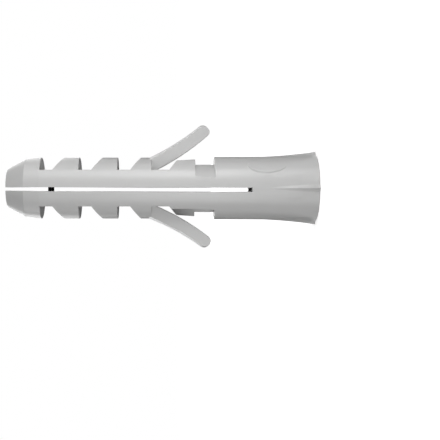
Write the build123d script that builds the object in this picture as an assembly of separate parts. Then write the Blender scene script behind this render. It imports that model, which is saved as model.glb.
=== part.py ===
from build123d import *
from math import cos, hypot, radians, sin, sqrt, tan
import os

# A nylon wall plug for a 12 mm hole, moulded in one piece.
# It stands on its collar face, with its tip up. Sizes are in millimetres, angles in degrees.
# The slot runs through along Y. The wings and the tooth notches are on the +X and -X sides.

# Sleeve, which stays closed, and the collar that it flares out to
sleeve_radius = 6.11
sleeve_length = 19.85
flare_length = 13.0
flare_rise = 0.39
rim_bevel = 0.12

# Ridges that stop the plug from turning, one on each of four sides of the collar
ridge_count = 4
ridge_height = 0.62
ridge_rise_power = 1.5  # above 1, the crest leaves the sleeve smoothly and then rises faster
ridge_start_depth = 0.08
ridge_width = 1.8
ridge_foot_depth = 0.06
ridge_hollow = 0.17  # how far a flank sags below its chord, as a share of its height
ridge_root_depth = 1.0
ridge_section_count = 5

# Raised oval pad on the sleeve, on the near side between two ridges
pad_length = 7.9
pad_width = 3.9
pad_rise = 0.16
pad_lean = 0.3  # how far the pad's face is shifted round, so that it rises towards one side
pad_slope_width = 0.3
pad_sinking = 0.02
pad_height = 9.85
pad_angle = -45.0

# Shank, split into two halves that the screw drives apart
shank_radius = 5.95
relief_length = 3.7
wide_wing_relief_floor = 4.83
close_wing_relief_floor = 5.03
relief_arc_radius = 7.2
guide_land_length = 3.0
notch_floor = 3.5
ramp_length = 2.0
ramp_bulge = 0.06
wing_bay_length = 3.4
wing_land_length = 2.08
notch_floor_length = 2.46
tooth_pitch = 7.43
tooth_count = 3

# Tip
shoulder_length = 3.05
nose_length = 3.6
nose_radius = 5.65
tip_radius = 3.78
tip_bevel = 0.12

# Wings, curved fingers that lean out and point back at the collar
wing_length = 12.0
wing_root_thickness = 2.77
wing_tip_thickness = 2.43
wing_root_width = 4.6
wing_tip_width = 3.6
wing_root_step = 0.2
wing_tip_slant = 5.0
wing_outer_rounding = 1.1
wing_inner_rounding = 0.9
wing_outer_rounding_limit = 0.46  # largest share of the thickness that the rounding takes
wing_inner_rounding_limit = 0.38
wing_anchor_depth = 1.0
wide_wing_start_angle = 25.7
wide_wing_end_angle = 40.2
close_wing_start_angle = 21.6
close_wing_end_angle = 37.4

# Channel in the last tooth, where a wing that is pressed flat finds room
channel_mouth_clearance = 0.4
channel_end_clearance = 0.1
channel_open_reach = 4.4

# Bore for the screw
bore_radius = 3.75
bore_length = 17.0
bore_cone_length = 6.0
throat_radius = 2.0
tip_bore_radius = 1.2

# Slot between the halves, and the two thin webs that bridge it near the tip
slot_width = 0.78
slot_tip_width = 0.6
slot_taper_length = 5.8
slot_start = 12.7
slot_offset = -0.32
slot_tip_offset = -0.17
web_height = 0.57
web_below_tooth = 1.47
web_outer = 3.0
web_overlap = 0.3

# How far a cutting shape reaches past the surface that it cuts
cut_margin = 2.0

# Sizes, and heights above the collar face, that follow from the sizes above
collar_radius = sleeve_radius + flare_rise
guide_start = sleeve_length + relief_length
guide_end = guide_start + guide_land_length
bay_start = guide_end + ramp_length
wing_root_height = bay_start + wing_bay_length
first_notch_start = wing_root_height + wing_land_length
first_face_height = first_notch_start + ramp_length + notch_floor_length
last_face_height = first_face_height + (tooth_count - 1) * tooth_pitch
knee_height = last_face_height + shoulder_length
plug_length = knee_height + nose_length
bore_cone_end = bore_length + bore_cone_length
web_middle_height = last_face_height - web_below_tooth - web_height / 2
widest_radius = collar_radius + ridge_height
cut_reach = widest_radius + cut_margin


def body_blank():
    """Return the turned outer form, from the collar face to the tip face."""
    with BuildPart() as blank:
        with BuildSketch(Plane.XZ):
            with BuildLine():
                Polyline((0, 0), (collar_radius - rim_bevel, 0), (collar_radius, rim_bevel))
                TangentArc((sleeve_radius, flare_length), (collar_radius, rim_bevel), tangent=(0, -1))
                Polyline(
                    (sleeve_radius, flare_length),
                    (sleeve_radius, sleeve_length),
                    (shank_radius, guide_start),
                    (shank_radius, last_face_height),
                    (nose_radius, knee_height),
                    (tip_radius, plug_length - tip_bevel),
                    (tip_radius - tip_bevel, plug_length),
                    (0, plug_length),
                    (0, 0),
                )
            make_face()
        revolve(axis=Axis.Z)
    return blank.part


def screw_bore():
    """Return the room for the screw: a cylinder, a cone and a long taper out of the tip."""
    with BuildPart() as bore:
        with BuildSketch(Plane.XZ):
            with BuildLine():
                Polyline(
                    (0, -cut_margin),
                    (bore_radius, -cut_margin),
                    (bore_radius, bore_length),
                    (throat_radius, bore_cone_end),
                    (tip_bore_radius, plug_length),
                    (tip_bore_radius, plug_length + cut_margin),
                    (0, plug_length + cut_margin),
                    (0, -cut_margin),
                )
            make_face()
        revolve(axis=Axis.Z)
    return bore.part


def prism_along_y(points, half_depth):
    """Return a prism whose outline is given as (x, z) points and which runs along Y."""
    outline = [Vector(x, 0, z) for x, z in points]
    face = Face(Wire.make_polygon(outline, close=True))
    return extrude(face, amount=half_depth, dir=(0, 1, 0), both=True)


def notch(face_height, floor_length, side):
    """Return the notch below a tooth's steep face, with a flat floor and a ramp down to the next land.

    The ramp is slightly rounded, so that it bulges between its foot and the land.
    """
    ramp_rise = shank_radius - notch_floor
    ramp_line = hypot(ramp_rise, ramp_length)
    ramp_foot = face_height - floor_length
    land_start = ramp_foot - ramp_length
    outer_height = land_start - (cut_reach - shank_radius) * ramp_length / ramp_rise
    foot = Vector(side * notch_floor, 0, ramp_foot)
    crest = Vector(side * shank_radius, 0, land_start)
    outwards = Vector(side * ramp_length, 0, ramp_rise) / ramp_line
    outer_end = Vector(side * cut_reach, 0, outer_height)
    outer_start = Vector(side * cut_reach, 0, face_height)
    inner_start = Vector(side * notch_floor, 0, face_height)
    edges = [
        Edge.make_three_point_arc(foot, (foot + crest) / 2 + outwards * ramp_bulge, crest),
        Edge.make_line(crest, outer_end),
        Edge.make_line(outer_end, outer_start),
        Edge.make_line(outer_start, inner_start),
        Edge.make_line(inner_start, foot),
    ]
    return extrude(Face(Wire(edges)), amount=cut_reach, dir=(0, 1, 0), both=True)


def relief(floor, side):
    """Return the shallow arc that is cut out beside the channel's narrow side, next to the sleeve."""
    half_reach = cut_reach / 2
    middle = (sleeve_length + guide_start) / 2
    block = Pos(side * half_reach, -side * half_reach, middle) * Box(cut_reach, cut_reach, relief_length)
    keep = Pos(-side * (relief_arc_radius - floor), 0, middle)
    return block - keep * Cylinder(relief_arc_radius, relief_length + 2 * cut_margin)


def wing_half_width(height):
    """Return half the wing's width at a height, tapering from its root to its tip."""
    fallen = (wing_root_height - height) / wing_length
    return (wing_root_width + (wing_tip_width - wing_root_width) * fallen) / 2


def channel(side):
    """Return the channel that the wing folds into, through the last tooth and on to the sleeve.

    It fits the wing closely on one side and is open wider on the other. Seen along the axis, the
    two channels are the same when the plug is turned by half a turn.
    """
    mouth = wing_half_width(guide_end) + channel_mouth_clearance
    middle = wing_half_width(guide_start) + channel_end_clearance
    end = wing_half_width(sleeve_length) + channel_end_clearance
    slope = (mouth - middle) / (guide_end - guide_start)
    stations = [
        (mouth + slope * (bay_start - guide_end), bay_start),
        (middle, guide_start),
        (end, sleeve_length),
    ]
    outline = [Vector(side * notch_floor, -side * half, height) for half, height in stations]
    outline.append(Vector(side * notch_floor, side * channel_open_reach, sleeve_length))
    outline.append(Vector(side * notch_floor, side * channel_open_reach, bay_start))
    face = Face(Wire.make_polygon(outline, close=True))
    return extrude(face, amount=cut_reach, dir=(side, 0, 0))


def wing(start_angle, end_angle, side):
    """Return one wing, whose outer face is an arc that turns from the start angle to the end angle."""
    start_turn = radians(start_angle)
    sweep = radians(end_angle) - start_turn
    arc_radius = wing_length / sweep
    root_x = shank_radius + wing_root_step
    centre_x = root_x + arc_radius * cos(start_turn)
    centre_z = wing_root_height + arc_radius * sin(start_turn)

    def point(share, depth):
        turn = start_turn + sweep * share
        reach = arc_radius + depth
        return Vector(side * (centre_x - reach * cos(turn)), 0, centre_z - reach * sin(turn))

    def inner_point(share):
        return point(share, wing_root_thickness + (wing_tip_thickness - wing_root_thickness) * share)

    def end_share(depth):
        return 1 + (wing_tip_thickness / 2 - depth) * tan(radians(wing_tip_slant)) / wing_length

    # The side outline reaches past the outer face, which the ring below rounds off
    outside = -cut_margin / 2
    anchor = -wing_anchor_depth / wing_length
    outer_end = point(end_share(outside), outside)
    inner_end = inner_point(end_share(wing_tip_thickness))
    edges = [
        Edge.make_three_point_arc(point(anchor, outside), point(0.5, outside), outer_end),
        Edge.make_line(outer_end, inner_end),
        Edge.make_three_point_arc(inner_end, inner_point(0.5), inner_point(anchor)),
        Edge.make_line(inner_point(anchor), point(anchor, outside)),
    ]
    finger = extrude(Face(Wire(edges)), amount=wing_root_width, dir=(0, 1, 0), both=True)

    # Plan outline, tapering from the root to the tip
    top = wing_root_height + wing_anchor_depth
    bottom = wing_root_height - wing_length - wing_tip_thickness
    plan = [
        Vector(0, -wing_half_width(top), top),
        Vector(0, wing_half_width(top), top),
        Vector(0, wing_half_width(bottom), bottom),
        Vector(0, -wing_half_width(bottom), bottom),
    ]
    reach = root_x + wing_length + wing_root_thickness
    finger &= extrude(Face(Wire.make_polygon(plan, close=True)), amount=reach, dir=(side, 0, 0))

    # Outer face, as round as the shank, so that the wing lies flush in the hole
    ring = Torus(arc_radius + shank_radius, shank_radius)
    finger &= Pos(side * centre_x, 0, centre_z) * Rot(90, 0, 0) * ring
    outer_corner = point(end_share(0), 0)
    finger = rounded_end(finger, outer_corner, wing_outer_rounding, wing_outer_rounding_limit)
    return rounded_end(finger, inner_end, wing_inner_rounding, wing_inner_rounding_limit)


def rounded_end(finger, corner, rounding, limit):
    """Return the wing with the edge through one corner of its end face rounded."""
    edge = min(finger.edges(), key=lambda edge: (edge.position_at(0.5) - corner).length)
    return fillet(edge, radius=min(rounding, limit * wing_tip_thickness))


def flare_radius(height):
    """Return the radius of the flare, whose outline is an arc that leaves the sleeve smoothly."""
    run = flare_length - rim_bevel
    arc_radius = (flare_rise**2 + run**2) / (2 * flare_rise)
    return sleeve_radius + arc_radius - sqrt(arc_radius**2 - (flare_length - height) ** 2)


def ridge_section(height):
    """Return a ridge's section at a height: two hollow flanks that meet in a crest."""
    base = flare_radius(height)
    risen = (1 - height / flare_length) ** ridge_rise_power
    crest_rise = (ridge_height + ridge_start_depth) * risen - ridge_start_depth
    half_width = ridge_width / 2
    crest = Vector(base + crest_rise, 0, height)
    foot_x = sqrt(base**2 - half_width**2) - ridge_foot_depth
    root_x = foot_x - ridge_root_depth
    sag = ridge_hollow * (crest.X - foot_x)

    def flank(side):
        foot = Vector(foot_x, side * half_width, height)
        return foot, (crest + foot) / 2 - Vector(sag, 0, 0)

    left_foot, left_middle = flank(-1)
    right_foot, right_middle = flank(1)
    left_root = Vector(root_x, -half_width, height)
    right_root = Vector(root_x, half_width, height)
    edges = [
        Edge.make_three_point_arc(left_foot, left_middle, crest),
        Edge.make_three_point_arc(crest, right_middle, right_foot),
        Edge.make_line(right_foot, right_root),
        Edge.make_line(right_root, left_root),
        Edge.make_line(left_root, left_foot),
    ]
    return Face(Wire(edges))


def ridge(turn):
    """Return one ridge, which rises out of the sleeve and stands highest at the collar face."""
    step = flare_length / (ridge_section_count - 1)
    sections = [ridge_section(index * step) for index in range(ridge_section_count)]
    return Rot(0, 0, turn) * loft(sections)


def pad():
    """Return the oval pad, which stands out most on one side and nearly merges on the other."""
    radius = sleeve_radius + pad_rise
    half_width = pad_width / 2
    high_side = sqrt(radius**2 - (half_width - pad_lean) ** 2)
    depth = high_side - sqrt(sleeve_radius**2 - half_width**2) + pad_sinking
    with BuildPart() as oval:
        with BuildSketch(Plane.YZ):
            with Locations((0, pad_height)):
                Ellipse(half_width, pad_length / 2)
        extrude(amount=radius + cut_margin)
    face = Pos(0, -pad_lean, pad_height) * Cylinder(radius, pad_length + cut_margin)
    rounded = oval.part & face
    outer_face = rounded.faces().sort_by(Axis.X)[-1]
    rim = rounded.edges().group_by(Axis.X)[-1]
    sloped = chamfer(rim, length=pad_slope_width, length2=depth, reference=outer_face)
    return Rot(0, 0, pad_angle) * sloped


def slot_middle(height):
    """Return where the slot's middle lies along X: it leans a little from the wings up to the tip."""
    risen = max(0, height - wing_root_height) / (plug_length - wing_root_height)
    return slot_offset + (slot_tip_offset - slot_offset) * risen


def slot():
    """Return the slot through both sides, which narrows towards the tip face."""
    half = slot_width / 2
    tip_half = slot_tip_width / 2
    top_half = tip_half + (tip_half - half) / slot_taper_length * cut_margin
    stations = [
        (half, slot_start),
        (half, wing_root_height),
        (half, plug_length - slot_taper_length),
        (top_half, plug_length + cut_margin),
    ]
    points = [(slot_middle(height) + width, height) for width, height in stations]
    points += [(slot_middle(height) - width, height) for width, height in reversed(stations)]
    return prism_along_y(points, cut_reach)


def web(side):
    """Return one web, which joins the halves between the bore and its own outer edge."""
    inner = tip_bore_radius
    middle = side * (inner + web_outer) / 2
    width = slot_width + 2 * web_overlap
    place = Pos(slot_middle(web_middle_height), middle, web_middle_height)
    return place * Box(width, web_outer - inner, web_height)


def plug_body():
    """Return the whole plug."""
    body = body_blank()
    for index in range(ridge_count):
        body += ridge(360 * index / ridge_count)
    for side in (1, -1):
        for index in range(tooth_count):
            body -= notch(first_face_height + index * tooth_pitch, notch_floor_length, side)
        body -= notch(wing_root_height, wing_bay_length, side)
        body -= channel(side)
    body -= relief(wide_wing_relief_floor, 1)
    body -= relief(close_wing_relief_floor, -1)
    body += wing(wide_wing_start_angle, wide_wing_end_angle, 1)
    body += wing(close_wing_start_angle, close_wing_end_angle, -1)
    body += pad()
    body -= slot()
    for side in (1, -1):
        body += web(side)
    body -= screw_bore()
    return body


os.makedirs("parts", exist_ok=True)
plug = plug_body()
export_step(plug, "parts/plug_body.step")
print("plug_body:", len(plug.solids()), "solid,", round(plug.volume, 2), "mm3")
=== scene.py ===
"""Looks of a nylon wall plug that stands on its collar face in plain white studio light.

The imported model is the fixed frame, in metres: +Z runs from the collar face to the tip, the
slot runs through along Y, and the wings lean out along X. The camera looks along +Y and is
turned by a right angle, so that the tip points to the picture's left.
"""

from __future__ import annotations

import logging
import math
from dataclasses import dataclass
from enum import Enum

import bmesh
import bpy
from mathutils import Matrix, Vector
from mathutils.bvhtree import BVHTree
from mathutils.geometry import intersect_point_line
from mathutils.interpolate import poly_3d_calc

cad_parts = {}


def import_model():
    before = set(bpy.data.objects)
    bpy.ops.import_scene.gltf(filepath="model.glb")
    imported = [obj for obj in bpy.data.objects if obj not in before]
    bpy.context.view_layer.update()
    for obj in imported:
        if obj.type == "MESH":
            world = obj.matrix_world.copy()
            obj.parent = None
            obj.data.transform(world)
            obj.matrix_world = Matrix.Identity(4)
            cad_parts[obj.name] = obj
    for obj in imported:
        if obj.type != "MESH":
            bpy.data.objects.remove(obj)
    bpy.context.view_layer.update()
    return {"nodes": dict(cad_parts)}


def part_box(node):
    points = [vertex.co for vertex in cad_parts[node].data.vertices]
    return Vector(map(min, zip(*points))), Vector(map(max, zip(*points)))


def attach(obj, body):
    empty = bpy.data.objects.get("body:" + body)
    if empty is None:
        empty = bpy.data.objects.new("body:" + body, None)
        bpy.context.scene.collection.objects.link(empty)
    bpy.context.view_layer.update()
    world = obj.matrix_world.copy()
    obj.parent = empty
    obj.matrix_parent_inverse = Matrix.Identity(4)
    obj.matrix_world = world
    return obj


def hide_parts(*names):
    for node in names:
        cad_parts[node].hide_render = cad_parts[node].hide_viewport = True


LOG = logging.getLogger("wall_plug")
MM = 0.001


class Ray(Enum):
    """Outputs of the Light Path node that see the plain white surroundings."""

    CAMERA = "Is Camera Ray"
    GLOSSY = "Is Glossy Ray"
    TRANSMISSION = "Is Transmission Ray"


class NodeBoard:
    """A short way to place and join shader nodes in one tree."""

    def __init__(self, tree: bpy.types.NodeTree) -> None:
        """Take hold of a tree and empty it.

        Args:
            tree: The node tree to build in.
        """
        self.tree = tree
        tree.nodes.clear()

    def add(self, kind: str, **settings: object) -> bpy.types.Node:
        """Place one node.

        Args:
            kind: The node's type name, without its ShaderNode prefix.
            **settings: Properties of the node to set.

        Returns:
            The new node.
        """
        node = self.tree.nodes.new("ShaderNode" + kind)
        for name, value in settings.items():
            setattr(node, name, value)
        return node

    def join(self, source: bpy.types.NodeSocket, target: bpy.types.NodeSocket) -> None:
        """Link an output to an input."""
        self.tree.links.new(source, target)

    def feed(self, socket: bpy.types.NodeSocket, value: object) -> None:
        """Link an output to an input, or set the input to a plain value.

        Args:
            socket: The input.
            value: Another node's output, or the number, vector or colour to set.
        """
        if isinstance(value, bpy.types.NodeSocket):
            self.join(value, socket)
        else:
            socket.default_value = value

    def math(self, operation: str, *values: object) -> bpy.types.NodeSocket:
        """Work out one number.

        Args:
            operation: The Math node's operation.
            *values: Sockets to link or numbers to set, in the node's order.

        Returns:
            The socket with the result.
        """
        node = self.add("Math", operation=operation)
        for socket, value in zip(node.inputs, values):
            self.feed(socket, value)
        return node.outputs[0]

    def vector(self, operation: str, *values: object) -> bpy.types.Node:
        """Work out one vector, or one number from a vector.

        Args:
            operation: The Vector Math node's operation.
            *values: Sockets to link or vectors to set, in the node's order.

        Returns:
            The node, with the outputs Vector and Value.
        """
        node = self.add("VectorMath", operation=operation)
        for socket, value in zip(node.inputs, values):
            self.feed(socket, value)
        return node

    def ease(
        self, value: object, old: tuple[float, float], new: tuple[float, float]
    ) -> bpy.types.NodeSocket:
        """Carry a number smoothly from one range into another.

        Args:
            value: The number's socket.
            old: Start and end of the range that it comes from.
            new: What the start and the end become.

        Returns:
            The socket with the result.
        """
        node = self.add("MapRange", interpolation_type="SMOOTHSTEP")
        for name, number in zip(("From Min", "From Max", "To Min", "To Max"), (*old, *new)):
            node.inputs[name].default_value = number
        self.feed(node.inputs["Value"], value)
        return node.outputs["Result"]

    def blend(self, mask: object, plain: object, masked: object) -> bpy.types.NodeSocket:
        """Blend two colours.

        Args:
            mask: How much of the second colour shows, from 0 to 1.
            plain: The first colour.
            masked: The second colour.

        Returns:
            The socket with the blended colour.
        """
        node = self.add("Mix", data_type="RGBA")
        inputs = {socket.identifier: socket for socket in node.inputs}
        outputs = {socket.identifier: socket for socket in node.outputs}
        self.feed(inputs["Factor_Float"], mask)
        self.feed(inputs["A_Color"], plain)
        self.feed(inputs["B_Color"], masked)
        return outputs["Result_Color"]

    def noise(
        self, place: bpy.types.NodeSocket, grain: float, detail: float
    ) -> bpy.types.NodeSocket:
        """Make a cloudy pattern.

        Args:
            place: The coordinates.
            grain: About how wide the patches are, in metres.
            detail: How many finer layers lie over them.

        Returns:
            The socket with the pattern, from 0 to 1.
        """
        node = self.add("TexNoise")
        self.join(place, node.inputs["Vector"])
        node.inputs["Scale"].default_value = 1 / grain
        node.inputs["Detail"].default_value = detail
        return node.outputs["Fac"]

    def white_ray(self) -> bpy.types.NodeSocket:
        """Mark the rays that see the white surroundings.

        Returns:
            The socket with the mask, which is 1 for such a ray.
        """
        path = self.add("LightPath")
        mask = path.outputs[Ray.CAMERA.value]
        for ray in (Ray.GLOSSY, Ray.TRANSMISSION):
            mask = self.math("MAXIMUM", mask, path.outputs[ray.value])
        return mask


def grey(level: float) -> tuple[float, float, float, float]:
    """Return an opaque grey."""
    return (level, level, level, 1.0)


def new_material(name: str) -> tuple[bpy.types.Material, NodeBoard]:
    """Start a material.

    Args:
        name: The material's name.

    Returns:
        The material and the empty board to build it on.
    """
    material = bpy.data.materials.new(name)
    material.use_nodes = True
    return material, NodeBoard(material.node_tree)


def new_object(
    name: str, shape: bmesh.types.BMesh, material: bpy.types.Material
) -> bpy.types.Object:
    """Put a modelled shape into the scene, as an object at the origin.

    Args:
        name: What the object and its mesh are called.
        shape: The shape, which is freed.
        material: What it is made of.

    Returns:
        The new object.
    """
    mesh = bpy.data.meshes.new(name)
    shape.to_mesh(mesh)
    shape.free()
    mesh.materials.append(material)
    item = bpy.data.objects.new(name, mesh)
    bpy.context.scene.collection.objects.link(item)
    return item


@dataclass(frozen=True)
class PaintedShadeBox:
    """A box of painted shade: a deep corner of the slot that hardly any light reaches, painted
    near-black.
    """

    middle: tuple[float, float, float]
    half_size: tuple[float, float, float]

    def mask(self, board: NodeBoard, place: bpy.types.NodeSocket) -> bpy.types.NodeSocket:
        """Mark the inside of the box.

        Args:
            board: The board to build on.
            place: The object coordinates.

        Returns:
            The socket with the mask, which is 1 inside.
        """
        offset = board.vector("SUBTRACT", place, self.middle)
        share = board.vector("DIVIDE", offset.outputs["Vector"], self.half_size)
        size = board.vector("ABSOLUTE", share.outputs["Vector"])
        parts = board.add("SeparateXYZ")
        board.join(size.outputs["Vector"], parts.inputs["Vector"])
        furthest = board.math("MAXIMUM", parts.outputs["X"], parts.outputs["Y"])
        furthest = board.math("MAXIMUM", furthest, parts.outputs["Z"])
        return board.math("LESS_THAN", furthest, 1.0)


# Painted shade: near-black boxes over the webs that bridge the slot near the tip, and over the
# slot's end wall near the collar.
SLOT_PAINTED_SHADE = (
    PaintedShadeBox(middle=(-0.215 * MM, 0.0, 51.6 * MM), half_size=(0.6 * MM, 3.1 * MM, 0.36 * MM)),
    PaintedShadeBox(middle=(-0.32 * MM, 0.0, 12.7 * MM), half_size=(0.39 * MM, 5.95 * MM, 0.08 * MM)),
)


@dataclass(frozen=True)
class NylonFinish:
    """Light grey nylon as it comes out of the mould: satin, finely grained, faintly streaked,
    with painted shade near-black in given boxes.
    """

    name: str = "grey_nylon"
    colour: tuple[float, float, float] = (0.5, 0.5, 0.497)
    roughness: float = 0.3
    specular: float = 0.5
    streak_width: float = 2.5 * MM
    streak_stretch: float = 12.0
    streak_detail: float = 2.0
    streak_range: tuple[float, float] = (0.3, 0.7)
    streak_tone: float = 0.012
    streak_gloss: float = 0.02
    grain_width: float = 0.12 * MM
    grain_detail: float = 1.0
    grain_height: float = 0.0015 * MM
    # Near-black colour of the painted shade in the slot's deep corners.
    painted_shade_colour: tuple[float, float, float] = (0.004, 0.004, 0.004)
    painted_shade_boxes: tuple[PaintedShadeBox, ...] = ()

    def material(self) -> bpy.types.Material:
        """Build the material.

        Returns:
            The finished material.
        """
        material, board = new_material(self.name)
        place = board.add("TexCoord").outputs["Object"]
        streak = self.streaks(board, place)
        # Mask of the boxes of painted shade in the slot's deep corners.
        painted_shade = self.painted_shade_mask(board, place)
        shader = board.add("BsdfPrincipled")
        board.join(self.tone(board, streak, painted_shade), shader.inputs["Base Color"])
        board.join(self.gloss(board, streak), shader.inputs["Roughness"])
        # Painted shade: the boxes are also made fully metallic, so that with their near-black
        # colour they lose their gloss as well.
        board.feed(shader.inputs["Metallic"], painted_shade)
        shader.inputs["Specular IOR Level"].default_value = self.specular
        board.join(self.grain(board, place), shader.inputs["Normal"])
        output = board.add("OutputMaterial")
        board.join(shader.outputs["BSDF"], output.inputs["Surface"])
        return material

    def streaks(self, board: NodeBoard, place: bpy.types.NodeSocket) -> bpy.types.NodeSocket:
        """Draw the faint streaks that the melt leaves along the plug as it fills the mould.

        Args:
            board: The board to build on.
            place: The object coordinates.

        Returns:
            The socket with the streaks, from 0 to 1.
        """
        drawn = board.add("Mapping")
        drawn.inputs["Scale"].default_value = (1.0, 1.0, 1.0 / self.streak_stretch)
        board.join(place, drawn.inputs["Vector"])
        return board.noise(drawn.outputs["Vector"], self.streak_width, self.streak_detail)

    def tone(
        self, board: NodeBoard, streak: bpy.types.NodeSocket, painted_shade: object
    ) -> bpy.types.NodeSocket:
        """Work out the colour, which the streaks vary a little and the boxes of painted shade
        turn near-black.

        Args:
            board: The board to build on.
            streak: The streaks, from 0 to 1.
            painted_shade: The mask of the boxes of painted shade, or a plain 0.

        Returns:
            The colour's socket.
        """
        span = (1 - self.streak_tone, 1 + self.streak_tone)
        toned = board.vector("SCALE", self.colour)
        board.join(board.ease(streak, self.streak_range, span), toned.inputs["Scale"])
        # Painted shade: the colour turns near-black inside the boxes.
        return board.blend(painted_shade, toned.outputs["Vector"], (*self.painted_shade_colour, 1.0))

    def gloss(self, board: NodeBoard, streak: bpy.types.NodeSocket) -> bpy.types.NodeSocket:
        """Return the roughness, which the streaks vary a little too."""
        span = (self.roughness - self.streak_gloss, self.roughness + self.streak_gloss)
        return board.ease(streak, self.streak_range, span)

    def painted_shade_mask(self, board: NodeBoard, place: bpy.types.NodeSocket) -> object:
        """Mark the boxes of painted shade.

        Args:
            board: The board to build on.
            place: The object coordinates.

        Returns:
            The socket with the mask, or a plain 0 if there are no boxes of painted shade.
        """
        mask: object = 0.0
        for painted_shade in self.painted_shade_boxes:
            mask = board.math("MAXIMUM", mask, painted_shade.mask(board, place))
        return mask

    def grain(self, board: NodeBoard, place: bpy.types.NodeSocket) -> bpy.types.NodeSocket:
        """Raise the fine grain that the spark-cut mould leaves.

        Args:
            board: The board to build on.
            place: The object coordinates.

        Returns:
            The normal's socket.
        """
        height = board.noise(place, self.grain_width, self.grain_detail)
        bump = board.add("Bump")
        bump.inputs["Distance"].default_value = self.grain_height
        board.join(height, bump.inputs["Height"])
        return bump.outputs["Normal"]


@dataclass(frozen=True)
class FloorFinish:
    """Matte floor that looks white; its glow dips in a ring round the plug's base, which paints a
    contact shadow on top of the real shadow that the matte part takes.
    """

    name: str = "white_floor"
    level: float = 0.6
    # Glow next to the base, which paints the contact shadow.
    painted_shadow_glow: float = 0.65
    far_glow: float = 1.0
    near_reach: float = 6.5 * MM
    far_reach: float = 11 * MM

    def material(self) -> bpy.types.Material:
        """Build the material.

        Returns:
            The finished material.
        """
        material, board = new_material(self.name)
        matte = board.add("BsdfDiffuse")
        matte.inputs["Color"].default_value = grey(self.level)
        # Painted shadow: the glow to the camera and to gloss is lower within a few millimetres of
        # the base, whether or not shade falls there.
        reach = board.vector("LENGTH", board.add("TexCoord").outputs["Object"])
        span = (self.near_reach, self.far_reach)
        white = board.ease(reach.outputs["Value"], span, (self.painted_shadow_glow, self.far_glow))
        glow = board.add("Emission")
        board.join(board.math("MULTIPLY", board.white_ray(), white), glow.inputs["Strength"])
        both = board.add("AddShader")
        board.join(matte.outputs["BSDF"], both.inputs[0])
        board.join(glow.outputs["Emission"], both.inputs[1])
        output = board.add("OutputMaterial")
        board.join(both.outputs["Shader"], output.inputs["Surface"])
        return material


@dataclass(frozen=True)
class CardFinish:
    """Matte dark grey card."""

    name: str = "card_grey"
    level: float = 0.03

    def material(self) -> bpy.types.Material:
        """Build the material.

        Returns:
            The finished material.
        """
        material, board = new_material(self.name)
        matte = board.add("BsdfDiffuse")
        matte.inputs["Color"].default_value = grey(self.level)
        output = board.add("OutputMaterial")
        board.join(matte.outputs["BSDF"], output.inputs["Surface"])
        return material


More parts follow.
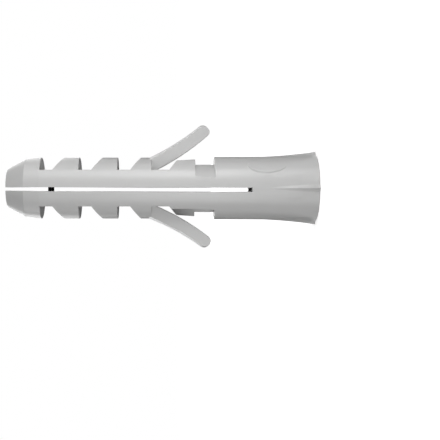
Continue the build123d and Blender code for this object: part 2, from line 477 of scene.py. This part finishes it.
@dataclass
class Plug:
    """The moulded plug: the CAD node's surface, joined up and with its moulded edges rounded."""

    node: bpy.types.Object
    finish: NylonFinish
    join_distance: float = 0.001 * MM
    flat_angle: float = math.radians(1)
    edge_angle: float = math.radians(46)
    edge_round: float = 0.08 * MM
    edge_segments: int = 2
    strip_width: float = 0.2 * MM
    strip_angle: float = math.radians(8)
    rim_height: float = 0.2 * MM
    most_corners: int = 4
    mark_name: str = "rounded"
    corner_pull: float = 0.02
    same_side: float = 0.9

    def build(self) -> bpy.types.Object:
        """Build the skin that stands for the CAD node.

        Returns:
            The skin's object.
        """
        skin = new_object("plug_skin", self.rounded_shape(), self.finish.material())
        skin.data.shade_smooth()
        self.take_normals(skin.data)
        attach(skin, "root")
        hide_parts("plug_body")
        return skin

    def rounded_shape(self) -> bmesh.types.BMesh:
        """Merge a copy of the node's triangles and round its sharp edges.

        Returns:
            The closed shape, whose rounded faces are marked.
        """
        shape = bmesh.new()
        shape.from_mesh(self.node.data)
        bmesh.ops.remove_doubles(shape, verts=shape.verts, dist=self.join_distance)
        bmesh.ops.dissolve_limit(
            shape,
            angle_limit=self.flat_angle,
            verts=shape.verts,
            edges=shape.edges,
            delimit={"NORMAL"},
        )
        self.clear_strips(shape)
        sharp = [edge for edge in shape.edges if self.is_moulded_edge(edge)]
        rounded = shape.faces.layers.int.new(self.mark_name)
        result = bmesh.ops.bevel(
            shape,
            geom=sharp,
            offset=self.edge_round,
            offset_type="OFFSET",
            segments=self.edge_segments,
            profile=0.5,
            affect="EDGES",
            clamp_overlap=False,
            loop_slide=False,
            material=-1,
        )
        for face in result["faces"]:
            face[rounded] = 1
        crowded = [face for face in shape.faces if len(face.verts) > self.most_corners]
        bmesh.ops.triangulate(shape, faces=crowded)
        return shape

    def clear_strips(self, shape: bmesh.types.BMesh) -> None:
        """Join the narrow strips beside the sharp edges, which would fold under the rounding.

        Args:
            shape: The merged copy of the node.
        """
        sharp = [edge for edge in shape.edges if self.is_moulded_edge(edge)]
        rims = {vertex for edge in sharp for vertex in edge.verts}
        close = set()
        for edge in sharp:
            start, end = (vertex.co for vertex in edge.verts)
            for vertex in {vertex for face in edge.link_faces for vertex in face.verts} - rims:
                share = intersect_point_line(vertex.co, start, end)[1]
                foot = start.lerp(end, min(max(share, 0.0), 1.0))
                if (foot - vertex.co).length < self.strip_width:
                    close.add(vertex)
        bounds = [
            edge
            for edge in shape.edges
            if close.intersection(edge.verts)
            and (close | rims).issuperset(edge.verts)
            and edge.calc_face_angle() < self.strip_angle
        ]
        bmesh.ops.dissolve_edges(shape, edges=bounds, use_verts=True, use_face_split=False)

    def is_moulded_edge(self, edge: bmesh.types.BMEdge) -> bool:
        """Tell whether an edge stands out sharply and is clear of the collar's own bevel.

        Args:
            edge: An edge of the merged copy.

        Returns:
            True if the edge gets rounded.
        """
        if not edge.is_convex or edge.calc_face_angle() < self.edge_angle:
            return False
        return max(vertex.co.z for vertex in edge.verts) > self.rim_height

    def take_normals(self, mesh: bpy.types.Mesh) -> None:
        """Give the skin the exact normals of the CAD surface, and round ones at its edges.

        Args:
            mesh: The skin's mesh, with its rounded faces marked.
        """
        source = self.node.data
        corners = [vertex.co.copy() for vertex in source.vertices]
        tree = BVHTree.FromPolygons(corners, [tuple(face.vertices) for face in source.polygons])
        marks = [bool(mark.value) for mark in mesh.attributes[self.mark_name].data]
        own = [Vector(normal.vector) for normal in mesh.vertex_normals]
        normals = [Vector() for _ in mesh.loops]
        seen: dict[int, list[Vector]] = {}
        for face in mesh.polygons:
            if marks[face.index]:
                continue
            for corner in face.loop_indices:
                vertex = mesh.loops[corner].vertex_index
                point = mesh.vertices[vertex].co.lerp(face.center, self.corner_pull)
                normal = self.cad_normal(source, tree, point)
                if normal.dot(face.normal) < self.same_side:
                    normal = own[vertex]
                normals[corner] = normal
                seen.setdefault(vertex, []).append(normal)
        for face in mesh.polygons:
            if not marks[face.index]:
                continue
            for corner in face.loop_indices:
                vertex = mesh.loops[corner].vertex_index
                nearby = seen.get(vertex, [own[vertex]])
                normals[corner] = max(nearby, key=face.normal.dot)
        mesh.attributes.remove(mesh.attributes[self.mark_name])
        mesh.normals_split_custom_set(normals)

    @staticmethod
    def cad_normal(source: bpy.types.Mesh, tree: BVHTree, point: Vector) -> Vector:
        """Read the CAD surface's smooth normal at the place nearest to a point.

        Args:
            source: The CAD node's mesh.
            tree: The same mesh as a search tree.
            point: The point to start from.

        Returns:
            The normal, one unit long.
        """
        place, _, index, _ = tree.find_nearest(point)
        face = source.polygons[index]
        weights = poly_3d_calc([source.vertices[vertex].co for vertex in face.vertices], place)
        normal = Vector()
        for weight, corner in zip(weights, face.loop_indices):
            normal += source.corner_normals[corner].vector * weight
        return normal.normalized()


@dataclass(frozen=True)
class SoftLight:
    """A rectangular lamp that faces a point on the plug's axis.

    Angles are in degrees, seen from that point: turn goes round the axis from the camera
    towards +X, and rise goes up from the horizon. The aim is the point's height above the
    floor, and the radiance sets how bright the lamp's face is, whatever its size.
    """

    name: str
    turn: float
    rise: float
    aim: float
    distance: float
    width: float
    height: float
    radiance: float

    def place(self) -> None:
        """Hang the lamp where only its light is seen."""
        turn, rise = math.radians(self.turn), math.radians(self.rise)
        away = Vector(
            (math.sin(turn) * math.cos(rise), -math.cos(turn) * math.cos(rise), math.sin(rise))
        )
        lamp = bpy.data.lights.new(self.name, "AREA")
        lamp.shape = "RECTANGLE"
        lamp.size = self.width
        lamp.size_y = self.height
        lamp.energy = self.radiance * math.pi * self.width * self.height
        holder = bpy.data.objects.new(self.name, lamp)
        holder.visible_camera = False
        holder.location = Vector((0, 0, self.aim)) + away * self.distance
        holder.rotation_euler = away.to_track_quat("Z", "Y").to_euler()
        bpy.context.scene.collection.objects.link(holder)


@dataclass(frozen=True)
class LampRow:
    """What the lamps of one row have in common: how they hang, and how tall they are."""

    rise: float
    aim: float
    distance: float
    height: float

    def lamp(self, name: str, turn: float, width: float, radiance: float) -> SoftLight:
        """Return one lamp of the row.

        Args:
            name: The lamp's name.
            turn: Its angle round the axis, in degrees.
            width: Its width.
            radiance: How bright it is.

        Returns:
            The lamp, not placed yet.
        """
        return SoftLight(
            name, turn, self.rise, self.aim, self.distance, width, self.height, radiance
        )


LOW_ROW = LampRow(rise=0, aim=20.5 * MM, distance=100 * MM, height=40 * MM)
HIGH_ROW = LampRow(rise=0, aim=65.5 * MM, distance=100 * MM, height=50 * MM)
WING_ROW = LampRow(rise=35, aim=30 * MM, distance=120 * MM, height=60 * MM)
TOP_ROW = LampRow(rise=55, aim=30 * MM, distance=120 * MM, height=60 * MM)
BACK_ROW = LampRow(rise=15, aim=30 * MM, distance=400 * MM, height=240 * MM)
STUDIO_LAMPS = (
    LOW_ROW.lamp("key_low", turn=54.3, width=51.5 * MM, radiance=5.45),
    HIGH_ROW.lamp("key_high", turn=54.3, width=51.5 * MM, radiance=3.1),
    LOW_ROW.lamp("fill_low", turn=-30, width=83 * MM, radiance=2.7),
    HIGH_ROW.lamp("fill_high", turn=-30, width=83 * MM, radiance=0.9),
    LOW_ROW.lamp("front_low", turn=15, width=83 * MM, radiance=0.7),
    HIGH_ROW.lamp("front_high", turn=15, width=83 * MM, radiance=0.2),
    TOP_ROW.lamp("top", turn=25, width=60 * MM, radiance=0.9),
    WING_ROW.lamp("wing_right", turn=80, width=60 * MM, radiance=1.4),
    WING_ROW.lamp("wing_left", turn=-88, width=60 * MM, radiance=1.6),
    BACK_ROW.lamp("back_middle", turn=180, width=200 * MM, radiance=2.6),
    BACK_ROW.lamp("back_right", turn=140, width=200 * MM, radiance=0.7),
    BACK_ROW.lamp("back_left", turn=-140, width=200 * MM, radiance=1.8),
)
AMBIENT = 0.05


@dataclass(frozen=True)
class DarkCard:
    """A matte dark card that lies behind the plug, curves up, and is seen by its gloss alone."""

    finish: CardFinish = CardFinish()
    inner_radius: float = 9 * MM
    outer_radius: float = 300 * MM
    thickness: float = 0.2 * MM
    height: float = 70 * MM
    spread: float = math.radians(160)
    steps: int = 24

    def build(self) -> None:
        """Bend the card round the plug from one outline, which runs out and then up."""
        shape = bmesh.new()
        turned = Matrix.Rotation(-self.spread / 2, 3, "Z")
        outline = (
            (self.inner_radius, self.thickness),
            (self.outer_radius, self.thickness),
            (self.outer_radius, self.height),
        )
        corners = [shape.verts.new(turned @ Vector((0, reach, up))) for reach, up in outline]
        edges = [shape.edges.new(pair) for pair in zip(corners, corners[1:])]
        bmesh.ops.spin(
            shape, geom=corners + edges, axis=(0, 0, 1), angle=self.spread, steps=self.steps
        )
        card = new_object("dark_card", shape, self.finish.material())
        card.visible_camera = False
        card.visible_diffuse = False
        card.visible_shadow = False


@dataclass
class Studio:
    """White floor, pale surroundings, a dark card and soft lamps."""

    floor_finish: FloorFinish
    card: DarkCard
    lamps: tuple[SoftLight, ...]
    ambient: float
    floor_size: float = 3.0

    def build(self) -> None:
        """Build the floor, the surroundings, the card and the lamps."""
        shape = bmesh.new()
        bmesh.ops.create_grid(shape, x_segments=1, y_segments=1, size=self.floor_size / 2)
        floor = new_object("floor", shape, self.floor_finish.material())
        self.surround()
        self.card.build()
        for lamp in self.lamps:
            lamp.place()

    def surround(self) -> None:
        """Make the surroundings white to the camera and a plain soft light to the plug."""
        world = bpy.data.worlds.new("surroundings")
        world.use_nodes = True
        bpy.context.scene.world = world
        board = NodeBoard(world.node_tree)
        sky = board.add("Background")
        sky.inputs["Color"].default_value = grey(1.0)
        level = board.math("MULTIPLY", board.white_ray(), 1.0 - self.ambient)
        board.join(board.math("ADD", level, self.ambient), sky.inputs["Strength"])
        output = board.add("OutputWorld")
        board.join(sky.outputs["Background"], output.inputs["Surface"])


@dataclass(frozen=True)
class PhotoCamera:
    """The camera of the photograph, level with the plug's middle and turned on its side."""

    distance: float = 195.6 * MM
    nearest: float = 1 * MM
    frame_pixels: float = 440.0
    focal_pixels: float = 1000.0
    sensor: float = 36.0
    plug_middle: tuple[float, float] = (161.7, 188.1)

    def place(self, target: Vector) -> None:
        """Make the scene's camera.

        Args:
            target: The plug's middle, on its axis.
        """
        scene = bpy.context.scene
        data = bpy.data.cameras.new("photo_camera")
        data.sensor_width = self.sensor
        data.lens = self.focal_pixels / self.frame_pixels * self.sensor
        data.clip_start = self.nearest
        centre = self.frame_pixels / 2
        data.shift_x = (centre - self.plug_middle[0]) / self.frame_pixels
        tilt = math.atan((centre - self.plug_middle[1]) / self.focal_pixels)
        right = Vector((0, 0, -1))
        forward = Vector((-math.sin(tilt), math.cos(tilt), 0))
        up = right.cross(forward)
        turned = Matrix((right, up, -forward)).transposed().to_4x4()
        camera = bpy.data.objects.new("photo_camera", data)
        camera.matrix_world = Matrix.Translation(target + Vector((0, -self.distance, 0))) @ turned
        scene.collection.objects.link(camera)
        scene.camera = camera


def main() -> None:
    """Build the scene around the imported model."""
    logging.basicConfig(level=logging.INFO, format="%(name)s: %(message)s")
    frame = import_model()
    low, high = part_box("plug_body")
    middle = Vector((0.0, 0.0, (low[2] + high[2]) / 2))

    skin = Plug(frame["nodes"]["plug_body"], NylonFinish(painted_shade_boxes=SLOT_PAINTED_SHADE)).build()
    LOG.info("%s built with %d faces", skin.name, len(skin.data.polygons))

    Studio(FloorFinish(), DarkCard(), STUDIO_LAMPS, AMBIENT).build()
    PhotoCamera().place(middle)
    bpy.context.scene.view_settings.view_transform = "Standard"


if __name__ == "__main__":
    main()
